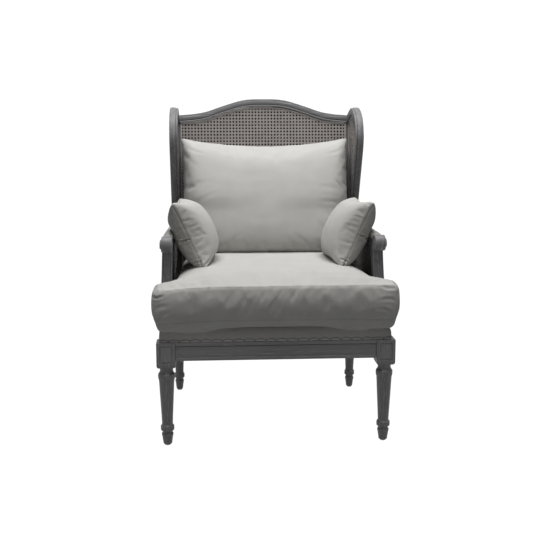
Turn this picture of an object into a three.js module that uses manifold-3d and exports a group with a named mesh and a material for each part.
// Caned wing armchair with turned legs, a fixed upholstered seat and four loose cushions.
// Lengths are in millimetres, +Y is the back and +Z up. Left and right are as seen from the
// front. Places are measured from the middle of the front legs, on the floor.

import * as THREE from "three";
import { mergeVertices } from "three/addons/utils/BufferGeometryUtils.js";
import Module from "manifold-3d";

const wasm = await Module();
wasm.setup();

// Clearance between touching pieces
const GAP = 0.3;

// Plan of the legs
const FRONT_LEG_X = 337;
const LEG_TAPER = 19;
const REAR_LEG_X = FRONT_LEG_X - LEG_TAPER;
const LEG_DEPTH = 585;

// Seat frame
const FRONT_BLOCK = 58;
const REAR_BLOCK = 50;
const PANEL_MARGIN = 10;
const PANEL_SINK = 2;
const RAIL_BASE = 272;
const RAIL_HEIGHT = 58;
const RAIL_TOP = RAIL_BASE + RAIL_HEIGHT;
const BLOCK_DROP = 16;
const BLOCK_BASE = RAIL_BASE - BLOCK_DROP;
const RAIL_WIDTH = 42;
const RAIL_SETBACK = 4;
const BEAD = 10;
const FRIEZE_SINK = 4;
const TENON_LENGTH = 22;
const TENON_WIDTH = 10;
const TENON_HEIGHT = 34;
const CORNER_BLOCK_REACH = 74;

// Rounding of the long edges, of stout and of slender pieces
const ROUNDING = 3;
const SLIGHT_ROUNDING = 2;

// Turned legs
const FOOT_RADIUS = 12.6;
const ANKLE_RADIUS = 17.2;
const RING_RADIUS = 20.4;
const KNEE_RADIUS = 23.9;
const SHOULDER_RADIUS = 26;
const NECK_RADIUS = 20;
const REAR_LEG_SHARE = 0.88;
const FLUTE_DEPTH = 1.6;
const FLUTE_COUNT = 12;
const GLIDE_RADIUS = 9;
const GLIDE_HEIGHT = 4;

// Plane of the back: where its front face meets the seat frame, and how far it leans
const BACK_SETBACK = 11;
const BACK_FOOT_Y = LEG_DEPTH - BACK_SETBACK;
const BACK_LEAN_SHARE = 0.1324;
const STILE_SETBACK = 8;
const STILE_WIDTH = 35;
const STILE_OUTER_X = REAR_LEG_X + REAR_BLOCK / 2 - STILE_SETBACK;
const STILE_INNER_X = STILE_OUTER_X - STILE_WIDTH;
const STILE_DEPTH = 34;
const BACK_HEIGHT = 679;
const CREST_END_Z = RAIL_TOP + BACK_HEIGHT;
const CREST_RISE = 58;
const CREST_HEIGHT = 27.5;
const CREST_PROUD = 8;
const CREST_LAP = 5.5;
const LOWER_RAIL_RISE = 42;
const LOWER_RAIL_HEIGHT = 40;
const LOWER_RAIL_BASE = RAIL_TOP + LOWER_RAIL_RISE;
const LOWER_RAIL_TOP = LOWER_RAIL_BASE + LOWER_RAIL_HEIGHT;

// Plane of each side: the middle of the arm support, and how far it closes in
const SIDE_OFFSET = 7.5;
const SIDE_FOOT_X = FRONT_LEG_X + SIDE_OFFSET;
const SIDE_FOOT_Y = 46;
const SIDE_TAPER_SHARE = 0.0335;
const SIDE_LEAN_SHARE = 0.0285;
const SUPPORT_WIDTH = 33;
const SUPPORT_DEPTH = 33;
const SUPPORT_SWEEP = 84;
const SUPPORT_HEIGHT = 266;

// Arms
const ARM_THICKNESS = 24;
const ARM_BASE = RAIL_TOP + SUPPORT_HEIGHT;
const ARM_TOP = ARM_BASE + ARM_THICKNESS;
const SCROLL_Y = 108;
const SCROLL_RADIUS = 25;
const BOSS_RADIUS = 15;
const BOSS_PROUD = 5;
const PAD_FRONT_Y = 138;
const PAD_REAR_SETBACK = 59;
const PAD_BACK_Y = BACK_FOOT_Y - PAD_REAR_SETBACK;
const PAD_WIDTH = 34;
const PAD_HEIGHT = 18;

// Wings: how far the line stands before the back and above the arm, as shares of the wing's
// reach and of the back's height over the arm, from behind the stile over the top and down
const WING_SETBACK = 6;
const WING_INNER_X = STILE_INNER_X + WING_SETBACK;
const WING_DEPTH = 27;
const WING_REACH = 216;
const WING_LINE_SHARES = [
  [-0.175, 0.9666],
  [0, 1.0026],
  [0.2514, 1.0463],
  [0.4977, 1.0694],
  [0.7569, 1.0308],
  [0.9241, 0.9563],
  [1.0009, 0.8509],
  [0.9958, 0.7712],
  [0.9106, 0.6658],
  [0.6616, 0.437],
  [0.4292, 0.2185],
  [0.287, 0.09],
  [0.2208, -0.0514],
];

// Right half of the crest's top line, as shares of the half width and of its rise
const CREST_LINE_SHARES = [
  [0, 1],
  [0.2209, 0.925],
  [0.4388, 0.57],
  [0.6149, 0.225],
  [0.7612, 0.07],
];

// Cane panels
const CANE_THICKNESS = 1.8;
const CANE_LAP = 4;
const SPLINE_WIDTH = 5;
const SPLINE_THICKNESS = 3;
const SIDE_CANE_SPREAD = 9;
const WING_CANE_SPREAD = 8.5;
const LINING_THICKNESS = 1;

// Seat upholstery
const STRAP_WIDTH = 70;
const STRAP_THICKNESS = 2;
const STRAPS_DEEP = 5;
const STRAPS_ACROSS = 4;
const DECK_BASE = RAIL_TOP + STRAP_THICKNESS + GAP;
const DECK_THICKNESS = 41.7;
const DECK_TOP = DECK_BASE + DECK_THICKNESS;
const DECK_FRONT_Y = -22;
const DECK_EAR_SETBACK = 10;
const DECK_EAR_X = FRONT_LEG_X + FRONT_BLOCK / 2 - DECK_EAR_SETBACK;
const DECK_EAR_Y = 38;
const DECK_SIDE_CLEARANCE = 10;
const DECK_FRONT_X = SIDE_FOOT_X - SUPPORT_WIDTH / 2 - DECK_SIDE_CLEARANCE;
const DECK_TAPER = 8;
const DECK_REAR_X = DECK_FRONT_X - DECK_TAPER;
const DECK_REAR_CLEARANCE = 8;
const DECK_REAR_Y = BACK_FOOT_Y - DECK_REAR_CLEARANCE;
const DECK_CORNER = 16;

// Longest straight piece in the plan of a soft form, and the middle its rings close on
const PLAN_STEP = 90;
const PLAN_CENTRE_Y = 20;

// Seat cushion, measured on its seams
const CUSHION_FRONT_Y = -46;
const CUSHION_OVERHANG = 2;
const CUSHION_EAR_X = FRONT_LEG_X + FRONT_BLOCK / 2 + CUSHION_OVERHANG;
const CUSHION_EAR_Y = 52;
const CUSHION_SIDE_CLEARANCE = 12;
const CUSHION_FRONT_X = DECK_FRONT_X - CUSHION_SIDE_CLEARANCE;
const CUSHION_TAPER = 15;
const CUSHION_REAR_X = CUSHION_FRONT_X - CUSHION_TAPER;
const CUSHION_REAR_CLEARANCE = 22;
const CUSHION_REAR_Y = BACK_FOOT_Y - CUSHION_REAR_CLEARANCE;
const CUSHION_BASE = DECK_TOP + GAP;
const CUSHION_LIP = 28.7;
const CUSHION_BOXING = 101;
const CUSHION_LOWER_SEAM = CUSHION_BASE + CUSHION_LIP;
const CUSHION_UPPER_SEAM = CUSHION_LOWER_SEAM + CUSHION_BOXING;
const CUSHION_CROWN = 32;
const CUSHION_BULGE = 9;
const CUSHION_CORNER = 26;
const CUSHION_BOW = 5;

// Loose back cushion
const BACK_CUSHION_OVERLAP = 1;
const BACK_CUSHION_WIDTH = 2 * (STILE_INNER_X + BACK_CUSHION_OVERLAP);
const BACK_CUSHION_RISE = 25;
const BACK_CUSHION_FOOT = CUSHION_UPPER_SEAM + BACK_CUSHION_RISE;
const BACK_CUSHION_HEIGHT = 399;
const BACK_CUSHION_HEAD = BACK_CUSHION_FOOT + BACK_CUSHION_HEIGHT;
const BACK_CUSHION_DEPTH = 220;

// The two small pillows, which lean outward on the arms
const PILLOW_LENGTH = 276;
const PILLOW_DEPTH = 128;
const PILLOW_FRONT_Y = 115;
const PILLOW_TURN_SHARE = 0.06;
const PILLOW_DROP_SHARE = 0.03;
const PILLOW_SIDE_CLEARANCE = 29.5;
const PILLOW_LEAN = 95;
const PILLOW_HEAD_X = SIDE_FOOT_X - PILLOW_SIDE_CLEARANCE;
const PILLOW_FOOT_X = PILLOW_HEAD_X - PILLOW_LEAN;
const PILLOW_RISE = 27.5;
const PILLOW_HEIGHT = 202.5;
const PILLOW_FOOT_Z = CUSHION_UPPER_SEAM + PILLOW_RISE;
const PILLOW_HEAD_Z = PILLOW_FOOT_Z + PILLOW_HEIGHT;
const PRESS_CLEARANCE = 2;
const BUTTON_RADIUS = 6;
const BUTTON_THICKNESS = 3;
const BUTTON_PLACE_SHARES = { across: Math.sin((Math.PI / 2) * (5 / 7)), up: 0 };

// Finishes

const FINISHES = {
  wood: { color: 0x6f6f70, roughness: 0.72, metalness: 0 },
  cane: { color: 0x857d76, roughness: 0.65, metalness: 0 },
  linen: { color: 0xc4c2b8, roughness: 0.95, metalness: 0 },
  webbing: { color: 0xa38f6d, roughness: 0.95, metalness: 0 },
  button: { color: 0xd8d2c2, roughness: 0.4, metalness: 0 },
  lining: { color: 0x26262a, roughness: 0.9, metalness: 0 },
  steel: { color: 0x9a9a9c, roughness: 0.4, metalness: 0.9 },
};

// Solids: joins and cuts of closed geometries

function merged(geometry) {
  const bare = geometry.clone();
  bare.deleteAttribute("normal");
  bare.deleteAttribute("uv");
  return mergeVertices(bare, 1e-3);
}

function solidOf(geometry) {
  const shared = merged(geometry);
  const vertProperties = new Float32Array(shared.attributes.position.array);
  const triVerts = new Uint32Array(shared.index.array);
  return new wasm.Manifold(new wasm.Mesh({ numProp: 3, vertProperties, triVerts }));
}

function geometryOf(solid) {
  const mesh = solid.getMesh();
  const geometry = new THREE.BufferGeometry();
  geometry.setAttribute("position", new THREE.BufferAttribute(mesh.vertProperties, 3));
  geometry.setIndex(new THREE.BufferAttribute(mesh.triVerts, 1));
  return geometry;
}

function joined(first, ...others) {
  return geometryOf(others.reduce((sum, next) => sum.add(solidOf(next)), solidOf(first)));
}

function cut(first, ...tools) {
  return geometryOf(tools.reduce((rest, tool) => rest.subtract(solidOf(tool)), solidOf(first)));
}

function mirrored(geometry) {
  const shared = merged(geometry).scale(-1, 1, 1);
  const index = shared.index.array;
  for (let i = 0; i < index.length; i += 3) {
    [index[i], index[i + 1]] = [index[i + 1], index[i]];
  }
  return shared;
}

function boxBetween(low, high) {
  const size = high.map((value, axis) => value - low[axis]);
  const centre = high.map((value, axis) => (value + low[axis]) / 2);
  return new THREE.BoxGeometry(...size).translate(...centre);
}

function turned(rows, sides) {
  const points = rows.map(([radius, along]) => new THREE.Vector2(radius, along));
  return new THREE.LatheGeometry(points, sides).rotateX(Math.PI / 2);
}

// Outlines and what is extruded from them

const SIDE_VIEW = new THREE.Matrix4().set(0, 0, 1, 0, 1, 0, 0, 0, 0, 1, 0, 0, 0, 0, 0, 1);
const FRONT_VIEW = new THREE.Matrix4().set(1, 0, 0, 0, 0, 0, -1, 0, 0, 1, 0, 0, 0, 0, 0, 1);

function polygon(points) {
  return new THREE.Shape(points.map(([x, y]) => new THREE.Vector2(x, y)));
}

function smooth(points, steps) {
  const curve = new THREE.SplineCurve(points.map(([x, y]) => new THREE.Vector2(x, y)));
  return curve.getSpacedPoints(steps).map((point) => [point.x, point.y]);
}

function upright(shape, from, to, bevel = 0) {
  const options = {
    depth: to - from - 2 * bevel,
    bevelEnabled: bevel > 0,
    bevelThickness: bevel,
    bevelSize: bevel,
    bevelOffset: -bevel,
    bevelSegments: 2,
  };
  return new THREE.ExtrudeGeometry(shape, options).translate(0, 0, from + bevel);
}

function alongX(shape, from, to, bevel = 0) {
  return upright(shape, from, to, bevel).applyMatrix4(SIDE_VIEW);
}

function alongY(shape, from, to, bevel = 0) {
  return upright(shape, -to, -from, bevel).applyMatrix4(FRONT_VIEW);
}

// The same line moved to its left by a distance
function beside(points, distance) {
  return points.map(([x, y], i) => {
    const before = points[Math.max(i - 1, 0)];
    const after = points[Math.min(i + 1, points.length - 1)];
    const run = [after[0] - before[0], after[1] - before[1]];
    const share = distance / Math.hypot(...run);
    return [x - run[1] * share, y + run[0] * share];
  });
}

// A closed anticlockwise outline moved outward by a distance
function grown(points, distance) {
  const count = points.length;
  return points.map(([x, y], i) => {
    const before = points[(i + count - 1) % count];
    const after = points[(i + 1) % count];
    const run = new THREE.Vector2(after[0] - before[0], after[1] - before[1]).normalize();
    return [x + run.y * distance, y - run.x * distance];
  });
}

// Planes of the back and of the sides

function backY(z) {
  return BACK_FOOT_Y + BACK_LEAN_SHARE * (z - RAIL_TOP);
}

function raked(geometry) {
  const lean = new THREE.Matrix4().set(
    1, 0, 0, 0,
    0, 1, BACK_LEAN_SHARE, backY(0),
    0, 0, 1, 0,
    0, 0, 0, 1,
  );
  return geometry.applyMatrix4(lean);
}

function sideX(y, z) {
  return SIDE_FOOT_X - SIDE_TAPER_SHARE * (y - SIDE_FOOT_Y) - SIDE_LEAN_SHARE * (z - RAIL_TOP);
}

function inSidePlane(geometry) {
  const closing = new THREE.Matrix4().set(
    1, -SIDE_TAPER_SHARE, -SIDE_LEAN_SHARE, sideX(0, 0),
    0, 1, 0, 0,
    0, 0, 1, 0,
    0, 0, 0, 1,
  );
  return geometry.applyMatrix4(closing);
}

// Everything behind the front face of the stiles, less a margin, as a tool for cuts
function behindStile(margin) {
  return raked(boxBetween([0, -margin, 0], [2 * STILE_OUTER_X, STILE_OUTER_X, 2 * CREST_END_Z]));
}

// Everything of the right half below or above a height, as a tool for cuts
function below(z) {
  return boxBetween([0, 0, 0], [2 * STILE_OUTER_X, 2 * LEG_DEPTH, z]);
}

function above(z) {
  return boxBetween([0, 0, z], [2 * STILE_OUTER_X, 2 * LEG_DEPTH, 2 * CREST_END_Z]);
}

// Turned legs, whose rows give radius, height and whether the row is fluted
function legRows() {
  const at = (share) => BLOCK_BASE * share;
  return [
    [FOOT_RADIUS, GLIDE_HEIGHT + GAP],
    [FOOT_RADIUS * 1.32, at(0.109)],
    [FOOT_RADIUS * 1.4, at(0.129)],
    [FOOT_RADIUS * 1.24, at(0.152)],
    [FOOT_RADIUS * 1.24, at(0.168)],
    [RING_RADIUS * 0.93, at(0.184)],
    [RING_RADIUS, at(0.203)],
    [RING_RADIUS, at(0.234)],
    [RING_RADIUS * 0.93, at(0.254)],
    [ANKLE_RADIUS * 0.95, at(0.27)],
    [ANKLE_RADIUS, at(0.305)],
    [ANKLE_RADIUS * 1.02, at(0.328), true],
    [KNEE_RADIUS, at(0.805), true],
    [KNEE_RADIUS, at(0.836)],
    [SHOULDER_RADIUS, at(0.859)],
    [SHOULDER_RADIUS * 0.96, at(0.887)],
    [NECK_RADIUS, at(0.922)],
    [NECK_RADIUS * 1.05, at(0.961)],
    [NECK_RADIUS * 1.23, BLOCK_BASE + PANEL_SINK],
  ];
}

function turnedLeg(share) {
  const rows = legRows();
  const first = [0, rows[0][1]];
  const last = [0, rows[rows.length - 1][1]];
  const sides = FLUTE_COUNT * 2;
  const scaled = rows.map(([radius, z]) => [radius * share, z]);
  const leg = turned([first, ...scaled, last], sides);
  const position = leg.attributes.position;
  const perColumn = rows.length + 2;
  for (let i = 0; i < position.count; i += 1) {
    const row = rows[(i % perColumn) - 1];
    const column = Math.floor(i / perColumn);
    if (row && row[2] && column % 2 === 1) {
      const hollow = 1 - FLUTE_DEPTH / row[0];
      position.setX(i, position.getX(i) * hollow);
      position.setY(i, position.getY(i) * hollow);
    }
  }
  return leg;
}

// Square block on a leg, with a sunk panel in each face that shows
function legBlock(size, faces) {
  const half = size / 2;
  const across = half - PANEL_MARGIN;
  const low = BLOCK_BASE + PANEL_MARGIN + FRIEZE_SINK;
  const high = RAIL_TOP - PANEL_MARGIN;
  const panels = {
    front: boxBetween([-across, -size, low], [across, PANEL_SINK - half, high]),
    outer: boxBetween([half - PANEL_SINK, -across, low], [size, across, high]),
    back: boxBetween([-across, half - PANEL_SINK, low], [across, size, high]),
  };
  const block = boxBetween([-half, -half, BLOCK_BASE], [half, half, RAIL_TOP - GAP]);
  return cut(block, ...faces.map((face) => panels[face]));
}

// Places of the seat rails
const FRONT_RAIL_Y = -FRONT_BLOCK / 2 + RAIL_SETBACK;
const BACK_RAIL_Y = LEG_DEPTH + REAR_BLOCK / 2 - RAIL_SETBACK;
const FRONT_RAIL_END = FRONT_LEG_X - FRONT_BLOCK / 2 - GAP;
const BACK_RAIL_END = REAR_LEG_X - REAR_BLOCK / 2 - GAP;
const SIDE_RAIL_START = FRONT_BLOCK / 2 + GAP;
const SIDE_RAIL_END = LEG_DEPTH - REAR_BLOCK / 2 - GAP;
const SIDE_RAIL_FRONT_X = FRONT_LEG_X + FRONT_BLOCK / 2 - RAIL_SETBACK;
const SIDE_RAIL_REAR_X = REAR_LEG_X + REAR_BLOCK / 2 - RAIL_SETBACK;
const SIDE_RAIL_SLOPE = (SIDE_RAIL_REAR_X - SIDE_RAIL_FRONT_X) / (SIDE_RAIL_END - SIDE_RAIL_START);

function sideRailX(y) {
  return SIDE_RAIL_FRONT_X + SIDE_RAIL_SLOPE * (y - SIDE_RAIL_START);
}

// Tenons, which are the same boxes as their sockets less the clearance
function seatTenon(x, y, reachX, reachY, clearance) {
  const middle = (RAIL_BASE + RAIL_TOP) / 2;
  const half = [reachX + clearance, reachY + clearance, TENON_HEIGHT / 2 + clearance];
  return boxBetween(
    [x - half[0], y - half[1], middle - half[2]],
    [x + half[0], y + half[1], middle + half[2]],
  );
}

function frontTenon(reach, clearance) {
  const y = FRONT_RAIL_Y + RAIL_WIDTH / 3;
  return seatTenon(FRONT_RAIL_END, y, reach, TENON_WIDTH / 2, clearance);
}

function backTenon(reach, clearance) {
  const y = BACK_RAIL_Y - RAIL_WIDTH / 3;
  return seatTenon(BACK_RAIL_END, y, reach, TENON_WIDTH / 2, clearance);
}

function sideFrontTenon(reach, clearance) {
  const x = SIDE_RAIL_FRONT_X - RAIL_WIDTH / 3;
  return seatTenon(x, SIDE_RAIL_START, TENON_WIDTH / 2, reach, clearance);
}

function sideRearTenon(reach, clearance) {
  const x = SIDE_RAIL_REAR_X - RAIL_WIDTH / 3;
  return seatTenon(x, SIDE_RAIL_END, TENON_WIDTH / 2, reach, clearance);
}

function crossTenon(base, top, reach, clearance) {
  const inset = TENON_WIDTH / 2;
  const middle = STILE_DEPTH / 2;
  const half = TENON_WIDTH / 2 + clearance;
  return raked(boxBetween(
    [STILE_INNER_X - TENON_WIDTH, middle - half, base + inset - clearance],
    [STILE_INNER_X + reach + clearance, middle + half, top - inset + clearance],
  ));
}

// Corners of the seat frame: inner corner of the leg block, and the rails' inner faces
const FRONT_CORNER = {
  legX: FRONT_LEG_X - FRONT_BLOCK / 2,
  legY: FRONT_BLOCK / 2,
  railY: FRONT_RAIL_Y + RAIL_WIDTH,
  inward: 1,
};
const REAR_CORNER = {
  legX: REAR_LEG_X - REAR_BLOCK / 2,
  legY: LEG_DEPTH - REAR_BLOCK / 2,
  railY: BACK_RAIL_Y - RAIL_WIDTH,
  inward: -1,
};

function cornerBlockShape(corner) {
  const { legX, legY, railY, inward } = corner;
  const gapY = GAP * inward;
  const farY = legY + CORNER_BLOCK_REACH * inward;
  const railX = Math.min(sideRailX(legY), sideRailX(farY)) - RAIL_WIDTH - GAP;
  const points = [
    [legX - GAP, railY + gapY],
    [legX - GAP, legY + gapY],
    [railX, legY + gapY],
    [railX, farY],
    [legX - CORNER_BLOCK_REACH, railY + gapY],
  ];
  return polygon(inward > 0 ? points.reverse() : points);
}

function cornerBlock(corner) {
  const inset = TENON_WIDTH / 2;
  return upright(cornerBlockShape(corner), RAIL_BASE + inset, RAIL_TOP - inset);
}

// Front leg: turned shaft and panelled block in one piece, with the rails' sockets
function frontLeg() {
  const block = legBlock(FRONT_BLOCK, ["front", "outer"]);
  return cut(
    joined(turnedLeg(1), block).translate(FRONT_LEG_X, 0, 0),
    frontTenon(TENON_LENGTH, GAP),
    sideFrontTenon(TENON_LENGTH, GAP),
  );
}

// Rear leg, block and raked stile in one piece
function rearPost() {
  const block = legBlock(REAR_BLOCK, ["outer", "back"]);
  const leg = joined(turnedLeg(REAR_LEG_SHARE), block).translate(REAR_LEG_X, LEG_DEPTH, 0);
  const low = [STILE_INNER_X, 0, RAIL_TOP - FRIEZE_SINK];
  const high = [STILE_OUTER_X, STILE_DEPTH, CREST_END_Z];
  return cut(
    joined(leg, raked(boxBetween(low, high))),
    backTenon(TENON_LENGTH, GAP),
    sideRearTenon(TENON_LENGTH, GAP),
    crossTenon(LOWER_RAIL_BASE, LOWER_RAIL_TOP, TENON_LENGTH, GAP),
    crossTenon(CREST_END_Z - CREST_HEIGHT, CREST_END_Z, TENON_LENGTH, GAP),
  );
}

// Moulded section of a seat rail, as distance in from its outer face and height
function railSection() {
  const soffit = RAIL_BASE + BEAD;
  const cap = RAIL_TOP - BEAD;
  const ease = BEAD / 4;
  const groove = BEAD / 5;
  return [
    [RAIL_WIDTH, RAIL_TOP - GAP],
    [RAIL_WIDTH, RAIL_BASE],
    [groove, RAIL_BASE],
    [0, RAIL_BASE + ease],
    [0, soffit - ease],
    [FRIEZE_SINK, soffit],
    [FRIEZE_SINK, cap - 2 * groove],
    [FRIEZE_SINK * 1.4, cap - groove],
    [FRIEZE_SINK * 0.4, cap - groove],
    [0, cap],
    [0, RAIL_TOP - ease],
    [ease, RAIL_TOP - GAP],
  ];
}

function frontRail() {
  const section = railSection().map(([inward, z]) => [FRONT_RAIL_Y + inward, z]);
  const rail = alongX(polygon(section.reverse()), -FRONT_RAIL_END, FRONT_RAIL_END);
  const tenon = frontTenon(TENON_LENGTH - GAP, 0);
  return joined(rail, tenon, mirrored(tenon));
}

function backRail() {
  const rail = boxBetween(
    [-BACK_RAIL_END, BACK_RAIL_Y - RAIL_WIDTH, RAIL_BASE],
    [BACK_RAIL_END, BACK_RAIL_Y, RAIL_TOP - GAP],
  );
  const tenon = backTenon(TENON_LENGTH - GAP, 0);
  return joined(rail, tenon, mirrored(tenon));
}

function sideRail() {
  const section = railSection().map(([inward, z]) => [SIDE_RAIL_FRONT_X - inward, z]);
  const tapering = new THREE.Matrix4().set(
    1, SIDE_RAIL_SLOPE, 0, -SIDE_RAIL_SLOPE * SIDE_RAIL_START,
    0, 1, 0, 0,
    0, 0, 1, 0,
    0, 0, 0, 1,
  );
  const rail = alongY(polygon(section), SIDE_RAIL_START, SIDE_RAIL_END).applyMatrix4(tapering);
  return joined(
    rail,
    sideFrontTenon(TENON_LENGTH - GAP, 0),
    sideRearTenon(TENON_LENGTH - GAP, 0),
  );
}

// Serpentine top line of the crest, from one end to the other
function crestLine(endX) {
  const half = CREST_LINE_SHARES.map(([acrossShare, riseShare]) => [
    STILE_OUTER_X * acrossShare,
    CREST_END_Z + CREST_RISE * riseShare,
  ]);
  half.push([endX, CREST_END_Z]);
  const left = half.slice(1).reverse().map(([x, z]) => [-x, z]);
  return smooth([...left, ...half], 22);
}

function crestPart(endX, from, to, bevel) {
  const top = crestLine(endX);
  const low = top.map(([x, z]) => [x, z - CREST_HEIGHT]);
  return alongY(polygon([...low, ...top.reverse()]), from, to, bevel);
}

function crestRail() {
  const face = crestPart(STILE_INNER_X + CREST_LAP, -CREST_PROUD, -GAP, SLIGHT_ROUNDING);
  const body = crestPart(STILE_INNER_X - GAP, -CREST_PROUD / 2, STILE_DEPTH + CREST_PROUD / 2, 0);
  const tenon = crossTenon(CREST_END_Z - CREST_HEIGHT, CREST_END_Z, TENON_LENGTH - GAP, 0);
  return joined(raked(face), raked(body), tenon, mirrored(tenon));
}

function lowerBackRail() {
  const end = STILE_INNER_X - GAP;
  const rail = boxBetween([-end, 0, LOWER_RAIL_BASE], [end, STILE_DEPTH, LOWER_RAIL_TOP]);
  const tenon = crossTenon(LOWER_RAIL_BASE, LOWER_RAIL_TOP, TENON_LENGTH - GAP, 0);
  return joined(raked(rail), tenon, mirrored(tenon));
}

// Cane field of the back, less a margin all round, between two depths
function backField(margin, from, to) {
  const side = STILE_INNER_X + CANE_LAP - margin;
  const top = crestLine(side).map(([x, z]) => [x, z - CREST_HEIGHT - GAP - margin]);
  const foot = LOWER_RAIL_TOP - CANE_LAP + margin;
  return raked(alongY(polygon([[-side, foot], [side, foot], ...top.reverse()]), from, to));
}

// Front line of the arm support: steep at the top, sweeping forward to the rail below
function supportLine() {
  const points = [];
  const steps = 12;
  const drop = ARM_BASE - RAIL_TOP;
  for (let i = 0; i <= steps; i += 1) {
    const share = i / steps;
    points.push([SIDE_FOOT_Y + SUPPORT_SWEEP * (1 - (1 - share) ** 1.8), RAIL_TOP + drop * share]);
  }
  return points;
}

function armSupport() {
  const front = supportLine();
  const back = beside(front, -SUPPORT_DEPTH);
  const outline = polygon([...front, ...back.reverse()].reverse());
  const half = SUPPORT_WIDTH / 2;
  const blank = inSidePlane(alongX(outline, -half, half, ROUNDING));
  return cut(blank, below(RAIL_TOP), above(ARM_BASE - GAP));
}

function scrollZ() {
  return ARM_TOP - SCROLL_RADIUS / 3;
}

// Arm with its rolled hand hold and the turned boss on the outer side
function arm() {
  const points = [[backY(ARM_TOP), ARM_BASE]];
  const steps = 22;
  const start = Math.asin((ARM_BASE - scrollZ()) / SCROLL_RADIUS);
  const end = Math.asin((ARM_TOP - scrollZ()) / SCROLL_RADIUS) - 2 * Math.PI;
  for (let i = 0; i <= steps; i += 1) {
    const angle = start + ((end - start) * i) / steps;
    points.push([
      SCROLL_Y + SCROLL_RADIUS * Math.cos(angle),
      scrollZ() + SCROLL_RADIUS * Math.sin(angle),
    ]);
  }
  points.push([backY(ARM_TOP), ARM_TOP]);
  const half = SUPPORT_WIDTH / 2;
  const rail = alongX(polygon(points.reverse()), -half, half, SLIGHT_ROUNDING);
  const boss = turned([
    [0, 0],
    [BOSS_RADIUS, 0],
    [BOSS_RADIUS, half + BOSS_PROUD * 0.6],
    [BOSS_RADIUS * 0.87, half + BOSS_PROUD],
    [BOSS_RADIUS / 2, half + BOSS_PROUD],
    [0, half + BOSS_PROUD * 1.2],
  ], 24).rotateY(Math.PI / 2).translate(0, SCROLL_Y, scrollZ());
  const caneX = STILE_INNER_X + CANE_LAP + GAP;
  const lap = CANE_THICKNESS + SPLINE_THICKNESS + 3 * GAP;
  const notch = raked(boxBetween([0, -lap, 0], [caneX, STILE_DEPTH, CREST_END_Z]));
  return cut(inSidePlane(joined(rail, boss)), behindStile(GAP), notch);
}

// Outer line of the wing, from behind the stile over the top and down to the arm
function wingLine() {
  const points = WING_LINE_SHARES.map(([reachShare, riseShare]) => {
    const z = ARM_TOP + (CREST_END_Z - ARM_TOP) * riseShare;
    return [backY(z) - WING_REACH * reachShare, z];
  });
  return smooth(points, 22);
}

function wingRail() {
  const outer = wingLine();
  const inner = beside(outer, WING_DEPTH);
  const outline = polygon([...outer, ...inner.reverse()]);
  const blank = alongX(outline, WING_INNER_X, STILE_OUTER_X, ROUNDING);
  return cut(blank, behindStile(GAP), below(ARM_TOP + GAP));
}

// Cane field of a wing, less a margin all round
function wingField(margin, from, to) {
  const inner = beside(wingLine(), WING_DEPTH + margin);
  const behind = [[backY(CREST_END_Z) + STILE_DEPTH, ARM_BASE]];
  const field = alongX(polygon([...inner, ...behind]), from, to);
  return cut(field, behindStile(margin), below(ARM_TOP + margin));
}

// Cane field below an arm, less a margin all round
function sideField(margin, from, to) {
  const front = beside(supportLine(), -SUPPORT_DEPTH - margin);
  const rear = backY(ARM_TOP);
  const outline = [[rear, ARM_BASE], ...front.reverse(), [rear, RAIL_BASE]];
  const field = inSidePlane(alongX(polygon(outline), from, to));
  return cut(field, behindStile(margin), below(RAIL_TOP + margin), above(ARM_BASE - margin));
}

// Spline strip that holds a cane panel: the field's border at a given depth
function splineOf(field, margin, from, to) {
  return cut(field(margin, from, to), field(margin + SPLINE_WIDTH, from - GAP, to + GAP));
}

// Webbing laced across the seat frame
function webbing() {
  const reachX = (y) => sideRailX(y) - RAIL_WIDTH + (SIDE_RAIL_FRONT_X - SIDE_FOOT_X) / 2;
  const frontY = FRONT_RAIL_Y + RAIL_WIDTH / 2;
  const rearY = BACK_RAIL_Y - RAIL_WIDTH * 0.9;
  const low = RAIL_TOP;
  const high = RAIL_TOP + STRAP_THICKNESS;
  const straps = [];
  for (let i = 0; i < STRAPS_DEEP; i += 1) {
    const x = (i - (STRAPS_DEEP - 1) / 2) * (STRAP_WIDTH * 1.4);
    straps.push(boxBetween([x - STRAP_WIDTH / 2, frontY, low], [x + STRAP_WIDTH / 2, rearY, high]));
  }
  const startY = SIDE_FOOT_Y + SUPPORT_DEPTH + STRAP_WIDTH;
  for (let i = 0; i < STRAPS_ACROSS; i += 1) {
    const y = startY + (i * (rearY - startY - STRAP_WIDTH)) / (STRAPS_ACROSS - 1);
    const half = reachX(y + STRAP_WIDTH / 2);
    straps.push(boxBetween([-half, y - STRAP_WIDTH / 2, low], [half, y + STRAP_WIDTH / 2, high]));
  }
  return joined(...straps);
}

// Thin lining stapled under the seat frame
function dustCover() {
  const inset = RAIL_WIDTH / 4;
  const gap = LINING_THICKNESS;
  const blockFront = FRONT_LEG_X - FRONT_BLOCK / 2 - gap;
  const blockRear = REAR_LEG_X - REAR_BLOCK / 2 - gap;
  const frontX = SIDE_RAIL_FRONT_X - inset;
  const rearX = SIDE_RAIL_REAR_X - inset;
  const half = [
    [blockFront, FRONT_RAIL_Y + inset],
    [blockFront, SIDE_RAIL_START + gap],
    [frontX, SIDE_RAIL_START + gap],
    [rearX, SIDE_RAIL_END - gap],
    [blockRear, SIDE_RAIL_END - gap],
    [blockRear, BACK_RAIL_Y - inset],
  ];
  const other = half.map(([x, y]) => [-x, y]).reverse();
  const top = RAIL_BASE - GAP;
  return upright(polygon([...half, ...other]), top - LINING_THICKNESS, top);
}

// Soft forms

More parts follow.
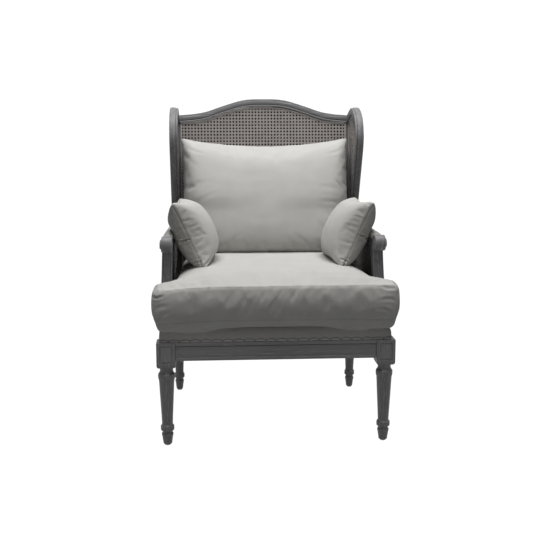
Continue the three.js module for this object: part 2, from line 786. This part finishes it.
// Closed solid from rings of equal count, with a middle point below and above them
function ringed(low, rings, high) {
  const count = rings[0].length;
  const points = [low, ...rings.flat(), high];
  const last = points.length - 1;
  const index = [];
  for (let i = 0; i < count; i += 1) {
    const next = (i + 1) % count;
    index.push(0, 1 + next, 1 + i);
    for (let ring = 0; ring < rings.length - 1; ring += 1) {
      const here = 1 + ring * count;
      const above = here + count;
      index.push(here + i, here + next, above + next);
      index.push(here + i, above + next, above + i);
    }
    index.push(last, last - count + i, last - count + next);
  }
  const geometry = new THREE.BufferGeometry();
  geometry.setAttribute("position", new THREE.Float32BufferAttribute(points.flat(), 3));
  geometry.setIndex(index);
  return geometry;
}

// Line with rounded corners, whose straight parts between them bow inward
function softLine(ends, radius, bow) {
  const line = [];
  let start = new THREE.Vector2(...ends[0]);
  for (let i = 1; i < ends.length; i += 1) {
    const isLast = i === ends.length - 1;
    const at = new THREE.Vector2(...ends[i]);
    const reach = isLast ? 0 : radius;
    const stop = at.clone().add(start.clone().sub(at).setLength(reach));
    const run = stop.clone().sub(start);
    const pieces = Math.max(1, Math.round(run.length() / PLAN_STEP));
    const depth = i === 1 || isLast ? 0 : Math.min(bow, run.length() / pieces / 2);
    for (let step = 0; step < pieces; step += 1) {
      const share = step / pieces;
      const inward = (4 * depth * share * (1 - share)) / run.length();
      line.push([start.x + run.x * share - run.y * inward, start.y + run.y * share + run.x * inward]);
    }
    if (!isLast) {
      start = at.clone().add(new THREE.Vector2(...ends[i + 1]).sub(at).setLength(radius));
      const curve = new THREE.QuadraticBezierCurve(stop, at, start);
      line.push(...curve.getPoints(3).slice(0, -1).map((point) => [point.x, point.y]));
    }
  }
  return [...line, ends[ends.length - 1]];
}

// Closed plan from its right half, which runs from the front middle to the back middle
function softPlan(ends, radius, bow = 0) {
  const right = softLine(ends, radius, bow);
  return [...right, ...right.slice(1, -1).reverse().map(([x, y]) => [-x, y])];
}

function scaled(points, share) {
  return points.map(([x, y]) => [x * share, PLAN_CENTRE_Y + (y - PLAN_CENTRE_Y) * share]);
}

// Height of the seat cushion's top
function crownedZ(x, y) {
  const middle = (CUSHION_FRONT_Y + CUSHION_REAR_Y) / 2;
  const across = Math.abs(x) / CUSHION_EAR_X;
  const along = Math.abs(y - middle) / (CUSHION_REAR_Y - middle);
  return CUSHION_UPPER_SEAM + CUSHION_CROWN * (1 - across ** 4) * (1 - along ** 6);
}

// Loose seat cushion: T shaped, boxed between two seams, crowned and bulging at the sides
function seatCushion() {
  const ends = [
    [0, CUSHION_FRONT_Y],
    [CUSHION_EAR_X, CUSHION_FRONT_Y],
    [CUSHION_EAR_X, CUSHION_EAR_Y],
    [CUSHION_FRONT_X, CUSHION_EAR_Y],
    [CUSHION_REAR_X, CUSHION_REAR_Y],
    [0, CUSHION_REAR_Y],
  ];
  const plan = softPlan(ends, CUSHION_CORNER, CUSHION_BOW);
  const height = CUSHION_UPPER_SEAM - CUSHION_LOWER_SEAM;
  const side = (distance, share) => {
    const z = CUSHION_LOWER_SEAM + height * share;
    return grown(plan, distance).map(([x, y]) => [x, y, z]);
  };
  const inner = grown(plan, -CUSHION_CORNER * 0.75);
  const risen = (points, share) => points.map(([x, y]) => {
    const rise = crownedZ(x, y) - CUSHION_UPPER_SEAM;
    return [x, y, CUSHION_UPPER_SEAM + rise * share];
  });
  const rings = [
    grown(plan, -CUSHION_CORNER * 0.55).map(([x, y]) => [x, y, CUSHION_BASE]),
    grown(plan, -CUSHION_CORNER * 0.25).map(([x, y]) => [x, y, CUSHION_BASE + CUSHION_BULGE]),
    side(0, 0),
    side(CUSHION_BULGE * 0.8, 0.25),
    side(CUSHION_BULGE, 0.5),
    side(CUSHION_BULGE * 0.8, 0.75),
    side(0, 1),
    risen(grown(plan, -CUSHION_CORNER * 0.25), 0.4),
    risen(inner, 0.8),
    risen(scaled(inner, 0.75), 1),
    risen(scaled(inner, 0.4), 1),
  ];
  const top = crownedZ(0, PLAN_CENTRE_Y);
  return ringed([0, PLAN_CENTRE_Y, CUSHION_BASE], rings, [0, PLAN_CENTRE_Y, top]);
}

// Padding and fixed cover of the seat, rounded over at its edges
function seatDeck() {
  const ends = [
    [0, DECK_FRONT_Y],
    [DECK_EAR_X, DECK_FRONT_Y],
    [DECK_EAR_X, DECK_EAR_Y],
    [DECK_FRONT_X, DECK_EAR_Y],
    [DECK_REAR_X, DECK_REAR_Y],
    [0, DECK_REAR_Y],
  ];
  const plan = softPlan(ends, DECK_CORNER);
  const level = (inset, share) => {
    const z = DECK_BASE + (DECK_TOP - DECK_BASE) * share;
    return grown(plan, -DECK_CORNER * inset).map(([x, y]) => [x, y, z]);
  };
  const rings = [level(0, 0), level(0, 0.3), level(0.12, 0.65), level(0.45, 0.9), level(0.85, 1)];
  return ringed([0, PLAN_CENTRE_Y, DECK_BASE], rings, [0, PLAN_CENTRE_Y, DECK_TOP]);
}

// Padded top of an arm
function armPad() {
  const half = PAD_WIDTH / 2;
  const ends = [
    [0, PAD_FRONT_Y],
    [half, PAD_FRONT_Y],
    [half, PAD_BACK_Y],
    [0, PAD_BACK_Y],
  ];
  const plan = softPlan(ends, half / 2);
  const centreY = (PAD_FRONT_Y + PAD_BACK_Y) / 2;
  const base = ARM_TOP + GAP;
  const level = (inset, share) => grown(plan, -inset).map(([x, y]) => [x, y, base + PAD_HEIGHT * share]);
  const rings = [
    level(half * 0.09, 0),
    level(0, 0.25),
    level(half * 0.025, 0.5),
    level(half * 0.18, 0.78),
    level(half * 0.47, 0.95),
  ];
  return inSidePlane(ringed([0, centreY, base], rings, [0, centreY, base + PAD_HEIGHT]));
}

// Share of its full thickness that a cushion has at a place between its seams
function fullness(across, up) {
  const full = ((1 - across ** 2) * (1 - up ** 2)) ** 0.5;
  return full < 1e-6 ? 0 : full;
}

// Knife edged cushion: across and up run from minus one to one, and shape gives each point
function knifeEdged(columns, rows, shape) {
  const grid = (face) => {
    const points = [];
    for (let row = 0; row <= rows; row += 1) {
      for (let column = 0; column <= columns; column += 1) {
        const across = Math.sin((Math.PI / 2) * ((2 * column) / columns - 1));
        const up = Math.sin((Math.PI / 2) * ((2 * row) / rows - 1));
        points.push(shape(across, up, fullness(across, up) * face));
      }
    }
    return points;
  };
  const points = [...grid(1), ...grid(-1)];
  const half = points.length / 2;
  const index = [];
  for (let row = 0; row < rows; row += 1) {
    for (let column = 0; column < columns; column += 1) {
      const a = row * (columns + 1) + column;
      const b = a + 1;
      const c = a + columns + 1;
      const d = c + 1;
      index.push(a, b, d, a, d, c);
      index.push(half + a, half + d, half + b, half + a, half + c, half + d);
    }
  }
  const geometry = new THREE.BufferGeometry();
  geometry.setAttribute("position", new THREE.Float32BufferAttribute(points.flat(), 3));
  geometry.setIndex(index);
  return merged(geometry);
}

// Share by which a side is drawn in between its corners
function drawn(along, other, amount) {
  return along * (1 - amount * (1 - other ** 2) * Math.abs(along) ** 3);
}

// Loose cushion that leans on the back and has sunk into its lower half
function backCushion() {
  const middle = (BACK_CUSHION_FOOT + BACK_CUSHION_HEAD) / 2;
  const half = (BACK_CUSHION_HEAD - BACK_CUSHION_FOOT) / 2;
  const rest = CANE_THICKNESS + 2 * GAP;
  return knifeEdged(20, 16, (across, up, full) => {
    const x = (BACK_CUSHION_WIDTH / 2) * drawn(across, up, 0.03);
    const z = middle + half * drawn(up, across, up < 0 ? 0.02 : 0.15);
    const rear = BACK_CUSHION_DEPTH * (0.34 - 0.15 * up);
    const power = up < 0 ? 0.6 - 0.2 * Math.abs(up) : 0.6;
    const dent = up < 0 ? 1 - 0.12 * Math.abs(across) : 1;
    const front = BACK_CUSHION_DEPTH * (0.64 - 0.14 * up) * dent * Math.abs(full) ** power;
    const pressed = rear * Math.min(1, Math.abs(full) ** 0.6 * 1.15);
    const y = backY(z) - rest - rear + (full > 0 ? -front : pressed);
    return [x, y, Math.max(z, crownedZ(x, y) + GAP)];
  });
}

// Point of a small pillow that stands on the seat cushion and leans on the arm
function pillowPoint(across, up, full) {
  const lean = new THREE.Vector2(PILLOW_LEAN, PILLOW_HEIGHT);
  const along = lean.clone().normalize();
  const swell = PILLOW_DEPTH * (full > 0 ? 0.58 : 0.42);
  const out = swell * Math.sign(full) * Math.abs(full) ** 0.85;
  const slide = (lean.length() / 2) * 1.06 * drawn(up, across, 0.12);
  const depth = (PILLOW_LENGTH / 2) * (1 - drawn(across, up, 0.1));
  const y = PILLOW_FRONT_Y + depth;
  const turn = PILLOW_TURN_SHARE * depth;
  const x = (PILLOW_HEAD_X + PILLOW_FOOT_X) / 2 + along.x * slide - along.y * out - turn;
  const level = (PILLOW_HEAD_Z + PILLOW_FOOT_Z) / 2 - PILLOW_DROP_SHARE * depth;
  const z = level + along.y * slide + along.x * out;
  return [pressedX(x, y, z), y, Math.max(z, crownedZ(x, y) + GAP)];
}

function sidePillow() {
  return knifeEdged(14, 12, pillowPoint);
}

// Button of the pillow's closing, on its outer half near the front
function pillowButton() {
  const { across, up } = BUTTON_PLACE_SHARES;
  const at = (moreAcross, moreUp) => {
    const full = fullness(across + moreAcross, up + moreUp);
    return new THREE.Vector3(...pillowPoint(across + moreAcross, up + moreUp, -full));
  };
  const step = 0.02;
  const surface = at(0, 0);
  const alongY = at(step, 0).sub(at(-step, 0));
  const alongUp = at(0, step).sub(at(0, -step));
  const outward = new THREE.Vector3().crossVectors(alongUp, alongY).normalize();
  const button = turned([
    [0, 0],
    [BUTTON_RADIUS, 0],
    [BUTTON_RADIUS, BUTTON_THICKNESS / 2],
    [BUTTON_RADIUS / 2, BUTTON_THICKNESS],
    [0, BUTTON_THICKNESS],
  ], 12);
  const turn = new THREE.Quaternion().setFromUnitVectors(new THREE.Vector3(0, 0, 1), outward);
  const seat = surface.addScaledVector(outward, GAP);
  return button.applyQuaternion(turn).translate(seat.x, seat.y, seat.z);
}

// Place of a point of a pillow that the arm keeps from going further out
function pressedX(x, y, z) {
  const inner = sideX(y, ARM_BASE) - PAD_WIDTH / 2 - 2 * PRESS_CLEARANCE;
  const overArm = Math.max(0, z - ARM_TOP - PAD_HEIGHT - 2 * PRESS_CLEARANCE);
  return Math.min(x, inner + overArm);
}

function glide(x, y) {
  return turned([
    [0, 0],
    [GLIDE_RADIUS * 0.89, 0],
    [GLIDE_RADIUS, GLIDE_HEIGHT / 4],
    [GLIDE_RADIUS, GLIDE_HEIGHT],
    [0, GLIDE_HEIGHT],
  ], 16).translate(x, y, 0);
}

// Cloth stretched between the two cane panels of the back, inside its frame
function backLining() {
  const middle = STILE_DEPTH / 2;
  const half = LINING_THICKNESS / 2;
  return backField(CANE_LAP + GAP, middle - half, middle + half);
}

// Cane panels of the back with the strips that hold them
function backCane(chair) {
  const front = -GAP;
  const rear = STILE_DEPTH + GAP;
  const thickness = CANE_THICKNESS;
  const strip = SPLINE_THICKNESS;
  add(chair, "back_cane_front", backField(0, front - thickness, front), "cane");
  add(chair, "back_cane_rear", backField(0, rear, rear + thickness), "cane");
  const frontStrip = front - thickness - GAP;
  const rearStrip = rear + thickness + GAP;
  const splineFront = splineOf(backField, 0, frontStrip - strip, frontStrip);
  const splineRear = splineOf(backField, 0, rearStrip, rearStrip + strip);
  add(chair, "back_spline_front", splineFront, "cane");
  add(chair, "back_spline_rear", splineRear, "cane");
}

function add(parent, name, geometry, finishName) {
  const material = new THREE.MeshStandardMaterial(FINISHES[finishName]);
  material.name = finishName;
  const mesh = new THREE.Mesh(geometry, material);
  mesh.name = name;
  parent.add(mesh);
}

function addPair(parent, name, geometry, finishName) {
  add(parent, `left_${name}`, mirrored(geometry), finishName);
  add(parent, `right_${name}`, geometry, finishName);
}

// The whole chair
const chair = new THREE.Group();

addPair(chair, "front_leg", frontLeg(), "wood");
addPair(chair, "rear_post", rearPost(), "wood");
add(chair, "front_rail", frontRail(), "wood");
add(chair, "back_rail", backRail(), "wood");
addPair(chair, "side_rail", sideRail(), "wood");
addPair(chair, "front_corner_block", cornerBlock(FRONT_CORNER), "wood");
addPair(chair, "rear_corner_block", cornerBlock(REAR_CORNER), "wood");
addPair(chair, "front_glide", glide(FRONT_LEG_X, 0), "steel");
addPair(chair, "rear_glide", glide(REAR_LEG_X, LEG_DEPTH), "steel");

add(chair, "crest_rail", crestRail(), "wood");
add(chair, "lower_back_rail", lowerBackRail(), "wood");
addPair(chair, "arm_support", armSupport(), "wood");
addPair(chair, "arm", arm(), "wood");
addPair(chair, "wing_rail", wingRail(), "wood");

backCane(chair);
add(chair, "back_lining", backLining(), "lining");

const wingMiddle = (WING_INNER_X + STILE_OUTER_X) / 2;
const layers = [
  { name: "inner", facing: -1 },
  { name: "outer", facing: 1 },
];
for (const { name, facing } of layers) {
  const between = (distance, thickness) => {
    const near = facing * distance;
    const far = facing * (distance + thickness);
    return [Math.min(near, far), Math.max(near, far)];
  };
  const wingPanel = between(WING_CANE_SPREAD - SPLINE_THICKNESS, CANE_THICKNESS);
  const wingStrip = between(WING_CANE_SPREAD - SPLINE_THICKNESS + CANE_THICKNESS + GAP, SPLINE_THICKNESS);
  const sidePanel = between(SIDE_CANE_SPREAD - SPLINE_THICKNESS, CANE_THICKNESS);
  const sideStrip = between(SIDE_CANE_SPREAD - SPLINE_THICKNESS + CANE_THICKNESS + GAP, SPLINE_THICKNESS);
  const atWing = ([from, to]) => [wingMiddle + from, wingMiddle + to];
  addPair(chair, `wing_cane_${name}`, wingField(GAP, ...atWing(wingPanel)), "cane");
  addPair(chair, `wing_spline_${name}`, splineOf(wingField, GAP, ...atWing(wingStrip)), "cane");
  addPair(chair, `side_cane_${name}`, sideField(GAP, ...sidePanel), "cane");
  addPair(chair, `side_spline_${name}`, splineOf(sideField, GAP, ...sideStrip), "cane");
}

const half = LINING_THICKNESS / 2;
addPair(chair, "wing_lining", wingField(GAP, wingMiddle - half, wingMiddle + half), "lining");
addPair(chair, "side_lining", sideField(GAP, -half, half), "lining");

add(chair, "seat_webbing", webbing(), "webbing");
add(chair, "dust_cover", dustCover(), "lining");
add(chair, "seat_deck", seatDeck(), "linen");
addPair(chair, "arm_pad", armPad(), "linen");
add(chair, "seat_cushion", seatCushion(), "linen");
add(chair, "back_cushion", backCushion(), "linen");
addPair(chair, "pillow", sidePillow(), "linen");
addPair(chair, "pillow_button", pillowButton(), "button");

// The origin is the middle of the whole chair's box, on the floor
const box = new THREE.Box3().setFromObject(chair);
chair.position.y = -(box.min.y + box.max.y) / 2;

export default chair;
